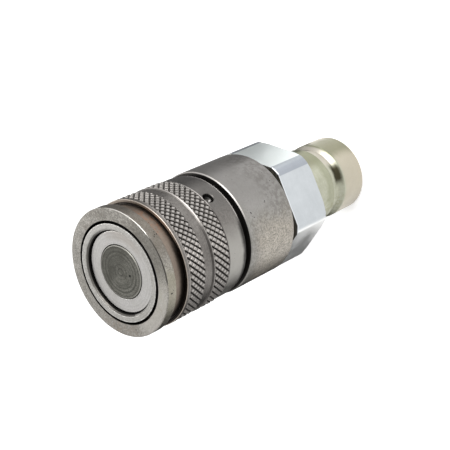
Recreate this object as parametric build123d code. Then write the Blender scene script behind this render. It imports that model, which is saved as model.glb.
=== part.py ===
from build123d import *
import math
import os

# Flat face hydraulic coupler: a female half with a ball-locked knurled sleeve, a hexagon adaptor
# screwed in behind it, and a male flat face nipple of the same size at the far end.
# Millimetres. +Z is the coupler's axis, with the nipple's flat end at Z = 0 and the female's
# flat face at the top. -Y is the side of the spanner flat that shows in front.

# Lengths along the axis, from the nipple's end upwards.
nose_length = 10.5
groove_width = 5.1
collar_length = 13.1
hexagon_length = 16.4
body_length = 19.6
sleeve_gap = 1.7
tail_length = 7.7
rear_knurl_length = 7.0
waist_length = 3.05
front_knurl_length = 7.25
lip_chamfer = 0.3
neck_length = 4.2
band_length = 3.7

# Sizes across. The pieces nest outwards from the nose and inwards from it, so the others
# follow from its radius and the walls between them. The sliding clearance comes first.
running = 0.1
nose_radius = 12.25
cage_wall = 2.15
lock_wall = 2.6
sleeve_wall = 1.8
flat_depth = 2.0
stem_share = 0.645
shank_share = 0.456
cage_radius = nose_radius + running + cage_wall
ring_spigot_radius = cage_radius + running + lock_wall
outer_radius = ring_spigot_radius + sleeve_wall
hexagon_across_flats = 2 * (outer_radius - flat_depth)
stem_radius = stem_share * nose_radius

# Clearances: at end stops, under balls and behind the front ring.
stop_gap = 0.1
ball_slack = 0.05
ramp_slack = 0.15
face_gap = 0.6

# Lock balls, and the front ring that holds them in or frees them.
ball_count = 8
ball_radius = 1.75
front_wall = 1.3
sleeve_travel = 1.5
recess_slack = 0.3
recess_room = 3.3
ring_setback = 0.15
ring_edge = 0.45
ring_back_edge = 0.4
ring_spigot_length = 6.1
neck_front_radius = ring_spigot_radius + 0.5
neck_back_radius = ring_spigot_radius + 0.2

# Knurled sleeve, with its lip, two raised bands, waist and tail.
lip_depth = 0.9
lip_gap = 0.5
waist_depth = 0.45
tail_depth = 0.3
tail_crown_length = 2.6
tail_crown_depth = 0.8
retaining_ball_radius = 1.6
retaining_ball_drop = 2.0
retaining_ball_turn = -57.0
retaining_hole_radius = 1.7
retaining_hole_mouth = 2.3

# Cage, its spigot and the seals in it.
cage_lead_in = 0.6
cage_spigot_length = 7.0
cage_spigot_radius = cage_radius - 0.6
window_slack = 0.1
window_narrowing = 0.17
nose_seal_depth = 10.4
nose_seal_section = 1.4
backup_ring_width = 0.8
body_seal_section = 1.0
body_seal_height = 1.8

# Valve sleeve.
valve_recess = 1.2
valve_edge = 0.35
valve_bore_edge = 0.15
valve_head_length = 7.4
valve_web_thickness = 1.8
valve_web_clearance = 2.4
valve_skirt_length = 6.6
valve_skirt_wall = 2.65
valve_seal_section = 1.7
valve_seal_height = 2.05

# Fixed stem and the carrier that holds it.
stem_edge = 0.3
stem_proud = 0.2
stem_seal_section = 1.5
stem_seal_depth = 3.2
shank_cone = 1.6
tail_step = 0.6
tail_end = 0.6
carrier_thickness = 3.0
carrier_hub_wall = 2.0
carrier_rim = 3.2
nut_wall = 1.5
nut_height = 3.0

# Flow slots of the carrier and of the nipple's guide.
slot_count = 3
slot_angle = 84.0

# Rear body and hexagon adaptor.
guide_radius = ring_spigot_radius - 0.4
spring_room = 10.0
shoulder_chamfer = 0.5
rear_chamfer = 0.25
adaptor_spigot_radius = cage_spigot_radius + 0.5
adaptor_wall = 5.8
adaptor_bore = adaptor_spigot_radius - adaptor_wall
adaptor_flare = 2.4
adaptor_seal_section = 1.6
adaptor_seal_height = 3.0
hexagon_relief = 1.8
relief_radius = outer_radius - 2.8
hexagon_edge = 1.3
hexagon_front_edge = 0.2
hexagon_chamfer_angle = 30.0

# Nipple, its poppet and the poppet's guide.
nipple_spigot_length = 10.5
nipple_wall = 2.95
nipple_spigot_radius = nose_radius - 1.25
nipple_cavity_radius = nose_radius - nipple_wall
nipple_counterbore = nipple_cavity_radius + 0.5
nipple_lip_length = 5.0
nipple_seal_section = 0.9
nose_chamfer = 0.6
groove_chamfer = 0.25
poppet_recess = 0.3
poppet_radius = stem_radius + 0.1
poppet_flange = 1.5
poppet_flange_radius = poppet_radius + 0.8
poppet_seal_section = 1.5
poppet_seal_height = 2.3
poppet_stem_radius = 0.3 * poppet_radius
poppet_cone = 0.25 * poppet_radius
poppet_stem_overrun = 1.0
tail_clearance = 2.0
guide_seat_height = 2.3
guide_thickness = 3.0
guide_hub_radius = poppet_stem_radius + 1.8
guide_rim = 1.6
guide_ring_width = 1.1
guide_ring_depth = 0.5
guide_ring_section = 1.4
guide_ring_opening = 40.0

# Springs: wire radius, coil radius and turns, and the play at each end.
sleeve_spring_wire = 0.65
sleeve_spring_coil = (cage_radius + running + ring_spigot_radius) / 2
sleeve_spring_turns = 3.0
spring_seat_thickness = 0.8
valve_spring_wire = 0.8
valve_spring_turns = 5.5
poppet_spring_wire = 0.6
poppet_spring_coil = poppet_flange_radius - 2.5
poppet_spring_turns = 5.0
spring_play = 0.02

# Stations along the axis, worked out from the lengths.
z_groove = nose_length
z_collar = z_groove + groove_width
z_hexagon = z_collar + collar_length
z_body = z_hexagon + hexagon_length
z_relief = z_body - hexagon_relief
z_shoulder = z_body + body_length
z_sleeve = z_shoulder + sleeve_gap
z_rear_knurl = z_sleeve + tail_length
z_waist = z_rear_knurl + rear_knurl_length
z_front_knurl = z_waist + waist_length
z_lip = z_front_knurl + front_knurl_length + lip_chamfer
z_band = z_lip + neck_length
z_face = z_band + band_length

# Lock: a ball lies between the valve sleeve and the ring's recess, and drops once the nose is in.
cage_bore = nose_radius + running
land_radius = cage_radius + running
ball_depth = front_wall + recess_room + ball_radius
ball_orbit = nose_radius + ball_slack + ball_radius
recess_radius = ball_orbit + ball_radius + recess_slack
lock_groove_radius = land_radius - running - 2 * ball_radius
z_ball = z_face - ball_depth
z_ring_tail = z_lip - ring_spigot_length
z_guide = z_ring_tail - spring_room
z_cage_tail = z_guide - cage_spigot_length
mating_depth = ball_depth + ball_radius + nose_length

# Valve sleeve and stem: the web stops against the stem's head, whose face stands a little proud.
stem_bore = stem_radius + running
shank_radius = shank_share * stem_radius
tail_radius = shank_radius - tail_step
valve_web_radius = shank_radius + valve_web_clearance
valve_skirt_bore = nose_radius - valve_skirt_wall
valve_spring_coil = (valve_web_radius + valve_skirt_bore) / 2
z_valve = z_face - valve_recess
z_stem = z_valve + stem_proud
z_web_top = z_valve - valve_head_length
z_web = z_web_top - valve_web_thickness
z_skirt = z_web - valve_skirt_length
z_head = z_web_top + stop_gap
valve_travel = mating_depth - valve_recess

# Nipple valve: the mating stem pushes it in as far as the valve sleeve goes.
poppet_bore = poppet_radius + running
poppet_travel = valve_travel - poppet_recess
z_flange = nipple_lip_length + stop_gap
z_flange_top = z_flange + poppet_flange
z_seat = z_hexagon + guide_seat_height
z_seat_top = z_seat + guide_thickness
z_poppet_top = z_seat_top + poppet_stem_overrun
z_nipple_top = z_hexagon + nipple_spigot_length

# Stem carrier: it lies clear of the nipple's poppet when both valves are open.
z_tail = z_poppet_top + poppet_travel + tail_clearance
z_nut = z_tail + tail_end
z_carrier = z_nut + nut_height
z_carrier_top = z_carrier + carrier_thickness
carrier_radius = adaptor_spigot_radius - running
carrier_hub_radius = tail_radius + carrier_hub_wall
nut_across_flats = 2 * (tail_radius + nut_wall)

# Ball that keeps the sleeve on the body: it runs in a turned groove as wide as the travel.
z_retaining_ball = z_rear_knurl - retaining_ball_drop
retaining_orbit = guide_radius + running
retaining_floor = retaining_orbit - retaining_ball_radius - running


def turned(points):
    """A solid turned about the axis, from (radius, height) points."""
    outline = Polyline(*[(r, 0, z) for r, z in points], close=True)
    return revolve(make_face(outline), Axis.Z, 360)


def tube(inner, outer, low, high):
    """A plain ring between two heights."""
    return turned([(inner, low), (outer, low), (outer, high), (inner, high)])


def round_seal(floor_radius, section, height):
    """An O-ring round the floor of an outside groove."""
    return Pos(0, 0, height) * Torus(floor_radius + section / 2, section / 2)


def seal_groove(floor_radius, outside_radius, section, height):
    """The square groove that such an O-ring lies in."""
    return tube(floor_radius, outside_radius + running, height - section / 2, height + section / 2)


def coiled_wire(wire, coil, turns, low, high):
    """Round wire coiled about the axis; low and high are the heights of its middle line."""
    path = Helix((high - low) / turns, high - low, coil, center=(0, 0, low))
    return sweep(Plane(path @ 0, z_dir=path % 0) * Circle(wire), path, is_frenet=True)


def ground_spring(wire, coil, turns, low, high):
    """A compression spring: a coil longer than its room, its ends ground flat on two seats."""
    bottom = low + spring_play
    top = high - spring_play
    extra = 2 * wire * turns / (top - bottom)
    coiled = coiled_wire(wire, coil, turns + extra, bottom - wire, top + wire)
    return coiled & tube(coil - 2 * wire, coil + 2 * wire, bottom, top)


def plain_spring(wire, coil, turns, low, high):
    """A compression spring with plain ends, its end coils resting on two seats."""
    return coiled_wire(wire, coil, turns, low + spring_play + wire, high - spring_play - wire)


def sector(inner, outer, low, high, angle):
    """A kidney-shaped block for a flow slot, centred on +X."""
    edge = Plane.XZ * Pos((inner + outer) / 2, (low + high) / 2) * Rectangle(outer - inner, high - low)
    return Rot(0, 0, -angle / 2) * revolve(edge, Axis.Z, angle)


def around(shape, count):
    """Copies of a shape spaced evenly about the axis."""
    return [Rot(0, 0, 360 / count * i) * shape for i in range(count)]


def ramp_height(radius):
    """Height of the ring's ramp, a 45 degree cone that all but touches the balls."""
    reach = (ball_radius + ramp_slack) * math.sqrt(2)
    return z_ball + radius - ball_orbit - reach


def nose_ring():
    """Outer front ring and neck. Its spigot carries the knurled sleeve, its inside the lock."""
    bore = cage_radius + face_gap
    z_front = z_face - ring_setback
    z_recess = z_face - front_wall
    return turned([
        (bore, z_front),
        (outer_radius - ring_edge, z_front),
        (outer_radius, z_front - ring_edge),
        (outer_radius, z_band + ring_back_edge),
        (outer_radius - ring_back_edge, z_band),
        (neck_front_radius, z_band),
        (neck_back_radius, z_lip - lip_depth),
        (ring_spigot_radius, z_lip - lip_depth),
        (ring_spigot_radius, z_ring_tail),
        (land_radius, z_ring_tail),
        (land_radius, ramp_height(land_radius)),
        (recess_radius, ramp_height(recess_radius)),
        (recess_radius, z_recess),
        (bore, z_recess),
    ])


def locking_sleeve():
    """Knurled sleeve: lip, two bands for the diamond knurl, a waist and a crowned tail."""
    z_front_top = z_lip - lip_chamfer
    z_front = z_front_knurl
    z_rear_top = z_waist
    z_rear = z_rear_knurl
    waist_radius = outer_radius - waist_depth
    tail_radius_out = outer_radius - tail_depth
    lip_radius = neck_back_radius + lip_gap
    guide_bore = guide_radius + running
    z_step = z_guide - stop_gap
    # The crown is one arc, upright where it starts; half way round it has half the turn.
    half_turn = math.atan2(tail_crown_depth, tail_crown_length)
    crown_radius = tail_crown_length / math.sin(2 * half_turn)
    crown_middle = tail_radius_out - crown_radius * (1 - math.cos(half_turn))
    z_crown = z_sleeve + tail_crown_length
    outline = [
        Polyline(
            (tail_radius_out, 0, z_crown),
            (tail_radius_out, 0, z_rear),
            (outer_radius, 0, z_rear + tail_depth),
            (outer_radius, 0, z_rear_top - waist_depth),
            (waist_radius, 0, z_rear_top),
            (waist_radius, 0, z_front),
            (outer_radius, 0, z_front + waist_depth),
            (outer_radius, 0, z_front_top),
            (outer_radius - lip_chamfer, 0, z_lip),
            (lip_radius, 0, z_lip),
            (lip_radius, 0, z_lip - lip_depth),
            (ring_spigot_radius, 0, z_lip - lip_depth),
            (ring_spigot_radius, 0, z_step),
            (guide_bore, 0, z_step),
            (guide_bore, 0, z_sleeve),
            (tail_radius_out - tail_crown_depth, 0, z_sleeve),
        ),
        ThreePointArc(
            (tail_radius_out - tail_crown_depth, 0, z_sleeve),
            (crown_middle, 0, z_crown - crown_radius * math.sin(half_turn)),
            (tail_radius_out, 0, z_crown),
        ),
    ]
    sleeve = revolve(make_face(outline), Axis.Z, 360)
    hole_length = outer_radius - guide_bore + 2 * tail_depth
    hole = Pos(guide_bore + hole_length / 2 - tail_depth, 0, z_retaining_ball) * Rot(0, 90, 0) * Cylinder(
        retaining_hole_radius, hole_length
    )
    mouth_depth = retaining_hole_mouth - retaining_hole_radius
    mouth = Pos(tail_radius_out, 0, z_retaining_ball) * Rot(0, 90, 0) * Cone(
        retaining_hole_radius, retaining_hole_mouth + mouth_depth, 2 * mouth_depth
    )
    return sleeve - Rot(0, 0, retaining_ball_turn) * (hole + mouth)


def sleeve_retaining_ball():
    """Ball in the sleeve's drilled hole, which runs in the rear body's groove."""
    ball = Pos(retaining_orbit, 0, z_retaining_ball) * Sphere(retaining_ball_radius)
    return Rot(0, 0, retaining_ball_turn) * ball


def locking_ball(index):
    """One lock ball, held out in its window by the valve sleeve."""
    ball = Pos(ball_orbit, 0, z_ball) * Sphere(ball_radius)
    return Rot(0, 0, 360 / ball_count * index) * ball


def ball_cage():
    """Inner front ring: a long tube with tapered ball windows, screwed into the rear body."""
    z_seal = z_face - nose_seal_depth
    z_seal_back = z_seal - nose_seal_section - backup_ring_width
    seal_floor = nose_radius + ball_slack + nose_seal_section
    cage = turned([
        (cage_bore + cage_lead_in, z_face),
        (cage_radius, z_face),
        (cage_radius, z_guide),
        (cage_spigot_radius, z_guide),
        (cage_spigot_radius, z_cage_tail),
        (cage_bore, z_cage_tail),
        (cage_bore, z_seal_back),
        (seal_floor, z_seal_back),
        (seal_floor, z_seal),
        (cage_bore, z_seal),
        (cage_bore, z_face - cage_lead_in),
    ])
    wide = ball_radius + window_slack
    wall = cage_radius - cage_bore
    taper = window_narrowing / wall
    low = cage_bore - wall / 2
    high = cage_radius + wall / 2
    cutter = Pos((low + high) / 2, 0, z_ball) * Rot(0, 90, 0) * Cone(
        wide - taper * (cage_radius - low), wide + taper * (high - cage_radius), high - low
    )
    cage -= around(cutter, ball_count)
    seal_height = z_cage_tail + body_seal_height
    return cage - seal_groove(
        cage_spigot_radius - body_seal_section, cage_spigot_radius, body_seal_section, seal_height
    )


def nose_seal():
    """O-ring in the cage's bore that seals the mating nose."""
    height = z_face - nose_seal_depth - nose_seal_section / 2
    return round_seal(nose_radius + ball_slack, nose_seal_section, height)


def nose_backup_ring():
    """Square ring behind the nose seal, which keeps it in its groove under pressure."""
    high = z_face - nose_seal_depth - nose_seal_section
    inner = nose_radius + ball_slack
    return tube(inner, inner + nose_seal_section, high - backup_ring_width, high)


def body_seal():
    """O-ring between the cage's spigot and the rear body."""
    height = z_cage_tail + body_seal_height
    return round_seal(cage_spigot_radius - body_seal_section, body_seal_section, height)


def valve_sleeve():
    """Ring-shaped valve: a head that closes on the stem, a web for the spring, and a skirt."""
    sleeve = turned([
        (stem_bore + valve_bore_edge, z_valve),
        (nose_radius - valve_edge, z_valve),
        (nose_radius, z_valve - valve_edge),
        (nose_radius, z_skirt),
        (valve_skirt_bore, z_skirt),
        (valve_skirt_bore, z_web),
        (valve_web_radius, z_web),
        (valve_web_radius, z_web_top),
        (stem_bore, z_web_top),
        (stem_bore, z_valve - valve_bore_edge),
    ])
    height = z_skirt + valve_seal_height
    return sleeve - seal_groove(
        nose_radius - valve_seal_section, nose_radius, valve_seal_section, height
    )


def valve_sleeve_seal():
    """O-ring round the valve sleeve's skirt."""
    height = z_skirt + valve_seal_height
    return round_seal(nose_radius - valve_seal_section, valve_seal_section, height)


def centre_stem():
    """Fixed stem: a flat head, a little proud of the valve sleeve, a thin shank and a tail."""
    stem = turned([
        (0, z_stem),
        (stem_radius - stem_edge, z_stem),
        (stem_radius, z_stem - stem_edge),
        (stem_radius, z_head),
        (shank_radius + shank_cone, z_head),
        (shank_radius, z_head - shank_cone),
        (shank_radius, z_carrier_top),
        (tail_radius, z_carrier_top),
        (tail_radius, z_tail),
        (0, z_tail),
    ])
    height = z_valve - stem_seal_depth
    return stem - seal_groove(stem_radius - stem_seal_section, stem_radius, stem_seal_section, height)


def stem_seal():
    """O-ring between the stem's head and the valve sleeve."""
    height = z_valve - stem_seal_depth
    return round_seal(stem_radius - stem_seal_section, stem_seal_section, height)


def stem_carrier():
    """Three-armed plate that holds the stem and lets the oil past it."""
    plate = tube(tail_radius, carrier_radius, z_carrier, z_carrier_top)
    slot = sector(
        carrier_hub_radius, carrier_radius - carrier_rim, z_carrier - 1, z_carrier_top + 1, slot_angle
    )
    return plate - around(slot, slot_count)


def stem_nut():
    """Nut on the stem's tail, behind the carrier."""
    hexagon = RegularPolygon(nut_across_flats / 2, 6, major_radius=False)
    nut = Pos(0, 0, z_nut) * extrude(hexagon, nut_height)
    return nut - tube(0, tail_radius, z_nut - 1, z_carrier + 1)


def sleeve_spring_seat():
    """Washer on the rear body's front end, under the sleeve spring."""
    low = z_guide + stop_gap
    return tube(land_radius, ring_spigot_radius - running, low, low + spring_seat_thickness)


def sleeve_spring():
    """Spring that pushes the front ring and the knurled sleeve forwards."""
    low = z_guide + stop_gap + spring_seat_thickness
    return plain_spring(sleeve_spring_wire, sleeve_spring_coil, sleeve_spring_turns, low, z_ring_tail)


def valve_spring():
    """Spring between the stem's carrier and the valve sleeve's web."""
    return ground_spring(valve_spring_wire, valve_spring_coil, valve_spring_turns, z_carrier_top, z_web)


def rear_body():
    """Dark rear body: the sleeve's guide in front, bores for the cage and the adaptor behind."""
    z_groove_top = z_retaining_ball + retaining_ball_radius + running
    z_groove_low = z_retaining_ball - retaining_ball_radius - sleeve_travel - running
    return turned([
        (adaptor_spigot_radius, z_body),
        (outer_radius - rear_chamfer, z_body),
        (outer_radius, z_body + rear_chamfer),
        (outer_radius, z_shoulder - shoulder_chamfer),
        (outer_radius - shoulder_chamfer, z_shoulder),
        (guide_radius, z_shoulder),
        (guide_radius, z_groove_low),
        (retaining_floor, z_groove_low),
        (retaining_floor, z_groove_top),
        (guide_radius, z_groove_top),
        (guide_radius, z_guide),
        (cage_spigot_radius, z_guide),
        (cage_spigot_radius, z_cage_tail),
        (cage_bore, z_cage_tail),
        (cage_bore, z_carrier_top),
        (adaptor_spigot_radius, z_carrier_top),
    ])


def hex_adaptor():
    """Zinc-plated hexagon adaptor. A turned relief parts its hexagon from the rear body."""
    rise = math.tan(math.radians(hexagon_chamfer_angle))
    bar = turned([
        (0, z_hexagon),
        (outer_radius - hexagon_edge, z_hexagon),
        (outer_radius, z_hexagon + hexagon_edge * rise),
        (outer_radius, z_relief - hexagon_front_edge),
        (outer_radius - hexagon_front_edge, z_relief),
        (0, z_relief),
    ])
    hexagon = RegularPolygon(hexagon_across_flats / 2, 6, major_radius=False)
    body = bar & (Pos(0, 0, z_hexagon) * extrude(hexagon, hexagon_length - hexagon_relief))
    spigot = turned([
        (0, z_relief),
        (relief_radius, z_relief),
        (relief_radius, z_body),
        (adaptor_spigot_radius, z_body),
        (adaptor_spigot_radius, z_carrier),
        (0, z_carrier),
    ])
    seal_seat = nipple_spigot_radius + nipple_seal_section
    passage = turned([
        (0, z_hexagon - 1),
        (seal_seat, z_hexagon - 1),
        (seal_seat, z_hexagon + nipple_seal_section),
        (nipple_spigot_radius, z_hexagon + nipple_seal_section),
        (nipple_spigot_radius, z_nipple_top + stop_gap),
        (adaptor_bore, z_nipple_top + stop_gap),
        (adaptor_bore, z_carrier - adaptor_flare),
        (adaptor_bore + adaptor_flare, z_carrier),
        (adaptor_bore + adaptor_flare, z_carrier + 1),
        (0, z_carrier + 1),
    ])
    groove = seal_groove(
        adaptor_spigot_radius - adaptor_seal_section,
        adaptor_spigot_radius,
        adaptor_seal_section,
        z_body + adaptor_seal_height,
    )
    return body + spigot - passage - groove


def adaptor_seal():
    """O-ring between the hexagon adaptor and the rear body."""
    floor_radius = adaptor_spigot_radius - adaptor_seal_section
    return round_seal(floor_radius, adaptor_seal_section, z_body + adaptor_seal_height)


def nipple_body():
    """Male nipple: a plain nose, the lock groove, a collar, and a spigot inside the hexagon."""
    depth = nose_radius - lock_groove_radius
    z_ring = z_seat_top
    return turned([
        (poppet_bore, 0),
        (nose_radius - nose_chamfer, 0),
        (nose_radius, nose_chamfer),
        (nose_radius, z_groove - groove_chamfer),
        (lock_groove_radius, z_groove + depth),
        (lock_groove_radius, z_collar - depth),
        (nose_radius, z_collar + groove_chamfer),
        (nose_radius, z_hexagon),
        (nipple_spigot_radius, z_hexagon),
        (nipple_spigot_radius, z_nipple_top),
        (nipple_counterbore, z_nipple_top),
        (nipple_counterbore, z_ring + guide_ring_width),
        (nipple_counterbore + guide_ring_depth, z_ring + guide_ring_width),
        (nipple_counterbore + guide_ring_depth, z_ring),
        (nipple_counterbore, z_ring),
        (nipple_counterbore, z_seat),
        (nipple_cavity_radius, z_seat),
        (nipple_cavity_radius, nipple_lip_length),
        (poppet_bore, nipple_lip_length),
    ])


def nipple_seal():
    """O-ring between the nipple's collar and the hexagon."""
    return round_seal(nipple_spigot_radius, nipple_seal_section, z_hexagon + nipple_seal_section / 2)


def nipple_valve():
    """Flat poppet that closes the nipple, with a flange for its stop and spring, and a stem."""
    poppet = turned([
        (0, poppet_recess),
        (poppet_radius - stem_edge, poppet_recess),
        (poppet_radius, poppet_recess + stem_edge),
        (poppet_radius, z_flange),
        (poppet_flange_radius, z_flange),
        (poppet_flange_radius, z_flange_top),
        (poppet_stem_radius + poppet_cone, z_flange_top),
        (poppet_stem_radius, z_flange_top + poppet_cone),
        (poppet_stem_radius, z_poppet_top),
        (0, z_poppet_top),
    ])
    floor_radius = poppet_radius - poppet_seal_section
    height = poppet_recess + poppet_seal_height
    return poppet - seal_groove(floor_radius, poppet_radius, poppet_seal_section, height)


def nipple_valve_seal():
    """O-ring round the poppet's head."""
    height = poppet_recess + poppet_seal_height
    return round_seal(poppet_radius - poppet_seal_section, poppet_seal_section, height)


def nipple_valve_spring():
    """Spring between the poppet's flange and its guide."""
    return ground_spring(
        poppet_spring_wire, poppet_spring_coil, poppet_spring_turns, z_flange_top, z_seat
    )


def nipple_valve_guide():
    """Three-armed guide for the poppet's stem."""
    plate = tube(poppet_stem_radius + running, nipple_counterbore, z_seat, z_seat_top)
    slot = sector(
        guide_hub_radius, nipple_counterbore - guide_rim, z_seat - 1, z_seat_top + 1, slot_angle
    )
    return plate - around(slot, slot_count)


def guide_ring():
    """Snap ring that keeps the guide in the nipple, open at one side."""
    outer = nipple_counterbore + guide_ring_depth
    full = tube(outer - guide_ring_section, outer, z_seat_top, z_seat_top + guide_ring_width)
    opening = sector(
        outer - 2 * guide_ring_section,
        outer + guide_ring_section,
        z_seat_top - 1,
        z_seat_top + guide_ring_width + 1,
        guide_ring_opening,
    )
    return full - opening


pieces = {
    "nose_ring": nose_ring(),
    "locking_sleeve": locking_sleeve(),
    "sleeve_retaining_ball": sleeve_retaining_ball(),
    "sleeve_spring_seat": sleeve_spring_seat(),
    "sleeve_spring": sleeve_spring(),
    "ball_cage": ball_cage(),
    "nose_seal": nose_seal(),
    "nose_backup_ring": nose_backup_ring(),
    "body_seal": body_seal(),
    "valve_sleeve": valve_sleeve(),
    "valve_sleeve_seal": valve_sleeve_seal(),
    "valve_spring": valve_spring(),
    "centre_stem": centre_stem(),
    "stem_seal": stem_seal(),
    "stem_carrier": stem_carrier(),
    "stem_nut": stem_nut(),
    "rear_body": rear_body(),
    "adaptor_seal": adaptor_seal(),
    "hex_adaptor": hex_adaptor(),
    "nipple_body": nipple_body(),
    "nipple_seal": nipple_seal(),
    "nipple_valve": nipple_valve(),
    "nipple_valve_seal": nipple_valve_seal(),
    "nipple_valve_spring": nipple_valve_spring(),
    "nipple_valve_guide": nipple_valve_guide(),
    "guide_ring": guide_ring(),
}
for number in range(ball_count):
    pieces[f"locking_ball_{number + 1}"] = locking_ball(number)

os.makedirs("parts", exist_ok=True)
for name, shape in pieces.items():
    export_step(shape, f"parts/{name}.step")
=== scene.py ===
import bpy
import math
from mathutils import Matrix, Vector


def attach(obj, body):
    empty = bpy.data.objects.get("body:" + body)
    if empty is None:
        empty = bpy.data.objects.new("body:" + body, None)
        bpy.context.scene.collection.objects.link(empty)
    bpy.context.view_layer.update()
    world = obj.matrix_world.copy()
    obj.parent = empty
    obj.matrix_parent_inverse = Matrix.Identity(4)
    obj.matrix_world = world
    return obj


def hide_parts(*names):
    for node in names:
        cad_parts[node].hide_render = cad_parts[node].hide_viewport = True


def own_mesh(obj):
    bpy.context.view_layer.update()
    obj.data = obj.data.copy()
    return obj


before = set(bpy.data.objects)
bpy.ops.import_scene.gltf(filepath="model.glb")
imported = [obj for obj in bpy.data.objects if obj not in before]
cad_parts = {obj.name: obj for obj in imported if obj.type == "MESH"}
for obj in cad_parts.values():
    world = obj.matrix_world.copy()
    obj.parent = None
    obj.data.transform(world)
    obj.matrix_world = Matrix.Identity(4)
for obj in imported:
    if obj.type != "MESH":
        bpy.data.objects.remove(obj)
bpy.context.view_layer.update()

# Stem head: the fixed disc in the middle of the flat face, turned from dark steel.
# It is screwed into a carrier further down and shows its turning marks and one small pit.
MM = 0.001
turning_steps = 192
face_height = 99.6
valve_recess = 1.2
valve_height = face_height - valve_recess
stem_height = valve_height + 0.2
stem_radius = 7.9
stem_edge = 0.18
stem_head_low = 91.1
stem_seal_height = valve_height - 3.2
stem_seal_section = 1.5
shank_radius = 3.6
shank_cone = 1.6
carrier_high = 60.7
stem_tail_radius = 3.0
stem_tail_low = 54.1
# A stain, or a patch of painted light or shade, that runs off a piece ends at these, outside every
# piece.
past_face = 101
past_side = 25


def turned(name, outline, edge=0.06):
    """A piece turned about Z: an outline of (radius, height) points in mm is drawn and spun."""
    bpy.ops.object.select_all(action="DESELECT")
    bpy.ops.mesh.primitive_plane_add(size=1, location=(0, 0, 0))
    piece = bpy.context.object
    piece.name = piece.data.name = name
    bpy.ops.object.mode_set(mode="EDIT")
    bpy.ops.mesh.select_mode(type="VERT")
    bpy.ops.mesh.select_all(action="SELECT")
    bpy.ops.mesh.merge(type="CENTER")
    bpy.ops.transform.translate(value=(outline[0][0] * MM, 0, outline[0][1] * MM))
    meets_axis = outline[0][0] == 0 and outline[-1][0] == 0
    path = outline if meets_axis else outline + outline[:1]
    for (radius, height), (next_radius, next_height) in zip(path, path[1:]):
        step = ((next_radius - radius) * MM, 0, (next_height - height) * MM)
        bpy.ops.mesh.extrude_region_move(TRANSFORM_OT_translate={"value": step})
    bpy.ops.mesh.select_all(action="SELECT")
    bpy.ops.mesh.remove_doubles(threshold=0.001 * MM)
    bpy.ops.object.mode_set(mode="OBJECT")
    for vertex in piece.data.vertices:
        vertex.select = vertex.co.x > 0.01 * MM
    bpy.ops.object.mode_set(mode="EDIT")
    bpy.ops.mesh.bevel(offset=edge * MM, segments=2, affect="VERTICES")
    bpy.ops.object.mode_set(mode="OBJECT")
    turning = piece.modifiers.new("turning", "SCREW")
    turning.axis = "Z"
    turning.steps = turning.render_steps = turning_steps
    turning.use_merge_vertices = True
    turning.merge_threshold = 0.001 * MM
    bpy.ops.object.modifier_apply(modifier=turning.name)
    bpy.ops.object.mode_set(mode="EDIT")
    bpy.ops.mesh.select_all(action="SELECT")
    bpy.ops.mesh.remove_doubles(threshold=0.001 * MM)
    bpy.ops.mesh.normals_make_consistent(inside=False)
    bpy.ops.mesh.select_all(action="DESELECT")
    bpy.ops.object.mode_set(mode="OBJECT")
    return piece


def pick(piece):
    """Makes this piece the only one selected."""
    bpy.ops.object.select_all(action="DESELECT")
    piece.select_set(True)
    bpy.context.view_layer.objects.active = piece


def finish_piece(piece, material, body, slot, *nodes):
    """Shades a piece, gives it its material, and puts it on its body in place of CAD nodes."""
    pick(piece)
    bpy.ops.object.shade_smooth_by_angle(angle=math.radians(30))
    flats = piece.modifiers.new("flat faces", "WEIGHTED_NORMAL")
    flats.keep_sharp = True
    bpy.ops.object.modifier_apply(modifier=flats.name)
    piece.data.materials.clear()
    piece.data.materials.append(material)
    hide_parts(*nodes)
    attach(piece, body)


def linear(code):
    """An sRGB hex colour as the linear RGBA that a shader takes."""
    parts = [int(code[i:i + 2], 16) / 255 for i in (0, 2, 4)]
    return [c / 12.92 if c <= 0.04045 else ((c + 0.055) / 1.055) ** 2.4 for c in parts] + [1]


def add(tree, kind, inputs=None, **properties):
    """Adds a shader node: its properties, then its inputs, each a value or another's output."""
    made = tree.nodes.new("ShaderNode" + kind)
    for name, value in properties.items():
        setattr(made, name, value)
    for name, value in (inputs or {}).items():
        if isinstance(value, bpy.types.NodeSocket):
            tree.links.new(value, made.inputs[name])
        else:
            made.inputs[name].default_value = value
    return made


def maths(tree, operation, *values):
    """The result of one maths node."""
    return add(tree, "Math", dict(enumerate(values)), operation=operation).outputs[0]


def remap(tree, value, start, end, low=0, high=1, **properties):
    """Turns start to end into low to high, and holds a value past them at the nearer one."""
    return add(tree, "MapRange", {"Value": value, "From Min": start, "From Max": end, "To Min": low,
                                  "To Max": high}, **properties).outputs[0]


def blend(tree, amount, under, over):
    """One colour laid over another, by an amount from 0 to 1."""
    return add(tree, "Mix", {0: amount, 6: under, 7: over}, data_type="RGBA").outputs[2]


def noise(tree, place, size, detail, roughness=0.5):
    """Soft clouds, of a real size in mm."""
    return add(tree, "TexNoise", {"Vector": place, "Scale": 1 / (size * MM), "Detail": detail,
                                  "Roughness": roughness}).outputs["Fac"]


def empty_material(name):
    """A new material that has no shader yet, and its node tree."""
    material = bpy.data.materials.new(name)
    material.use_nodes = True
    material.node_tree.nodes.clear()
    return material, material.node_tree


def axis_places(tree):
    """Where a point lies: its place, and its radius, height and turn about the axis."""
    place = add(tree, "TexCoord").outputs["Object"]
    split = add(tree, "SeparateXYZ", {0: place})
    flat_place = add(tree, "VectorMath", {0: place, 1: (1, 1, 0)}, operation="MULTIPLY")
    radius = add(tree, "VectorMath", {0: flat_place.outputs[0]}, operation="LENGTH")
    turn = maths(tree, "ARCTAN2", split.outputs["Y"], split.outputs["X"])
    return {"place": place, "radius": radius.outputs["Value"], "height": split.outputs["Z"],
            "turn": turn}


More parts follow.
